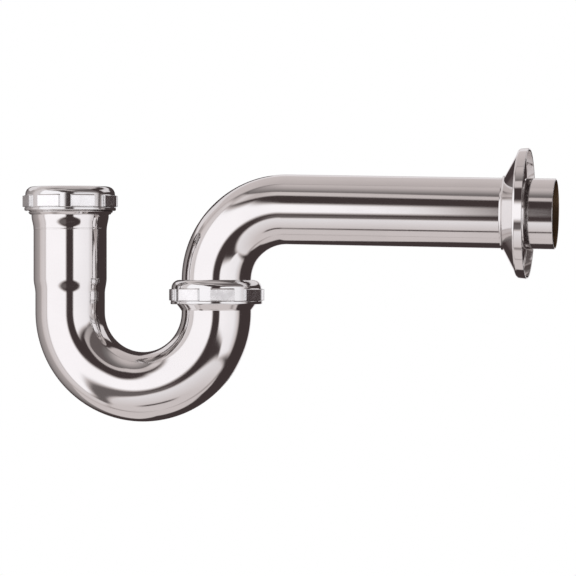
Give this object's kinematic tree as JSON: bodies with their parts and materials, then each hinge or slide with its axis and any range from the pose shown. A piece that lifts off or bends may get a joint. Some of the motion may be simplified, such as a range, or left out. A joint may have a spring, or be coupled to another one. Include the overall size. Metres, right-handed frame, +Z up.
{
  "type": "p trap",
  "caption": "Chromed tubular P trap: a U bend with a slip-joint inlet, slip nuts, a wall bend and a conical wall flange.",
  "frame": {"origin": "centre of the inlet socket's mouth, on the inlet axis", "axes": "+Z up along the inlet, +X towards the wall, with the J bend and the wall bend in the XZ plane at rest"},
  "size_m": [0.2939, 0.0706, 0.1485],
  "materials": {
    "chromed_tube": "polished chromium plate over drawn brass",
    "chromed_collar": "chromium plate over machined brass",
    "chromed_nut": "chromium plate over a casting, with a fine cast grain on the pads",
    "chromed_flange": "polished chromium plate over spun brass",
    "rubber_washer": "matt black rubber",
    "nylon_ring": "natural nylon",
    "bare_brass": "machined brass, unplated"
  },
  "bodies": {
    "wall_bend": {"wall_bend_tube": "chromed_tube", "wall_bend_flange": "bare_brass"},
    "j_bend": {"j_bend_tube": "chromed_tube", "inlet_collar": "chromed_collar", "outlet_collar": "chromed_collar", "inlet_washer": "rubber_washer", "outlet_washer": "rubber_washer"},
    "inlet_slip_ring": {"inlet_friction_ring": "nylon_ring"},
    "inlet_slip_nut": {"inlet_nut": "chromed_nut"},
    "outlet_slip_ring": {"outlet_friction_ring": "nylon_ring"},
    "outlet_slip_nut": {"outlet_nut": "chromed_nut"},
    "wall_flange": {"escutcheon": "chromed_flange"}
  },
  "joints": [
    {"name": "j_bend_swivel", "type": "hinge", "parent": "wall_bend", "child": "j_bend", "pos_m": [0.082, 0, -0.0507], "axis": [0, 0, 1], "range_deg": [-140, 140]},
    {"name": "inlet_nut_rise", "type": "slide", "parent": "j_bend", "child": "inlet_slip_ring", "axis": [0, 0, 1], "range_m": [0, 0.00663]},
    {"name": "inlet_nut_turn", "type": "hinge", "parent": "inlet_slip_ring", "child": "inlet_slip_nut", "pos_m": [0, 0, 0.0052], "axis": [0, 0, 1], "range_deg": [0, 1080]},
    {"name": "outlet_nut_rise", "type": "slide", "parent": "j_bend", "child": "outlet_slip_ring", "axis": [0, 0, 1], "range_m": [0, 0.00442]},
    {"name": "outlet_nut_turn", "type": "hinge", "parent": "outlet_slip_ring", "child": "outlet_slip_nut", "pos_m": [0.082, 0, -0.0461], "axis": [0, 0, 1], "range_deg": [0, 720]},
    {"name": "wall_flange_slide", "type": "slide", "parent": "wall_bend", "child": "wall_flange", "axis": [0.9998, 0, -0.0208], "range_m": [-0.066, 0.012]}
  ],
  "couplings": [
    {"joint": "inlet_nut_rise", "follows": "inlet_nut_turn", "m_per_rad": 0.00035152},
    {"joint": "outlet_nut_rise", "follows": "outlet_nut_turn", "m_per_rad": 0.00035152}
  ]
}
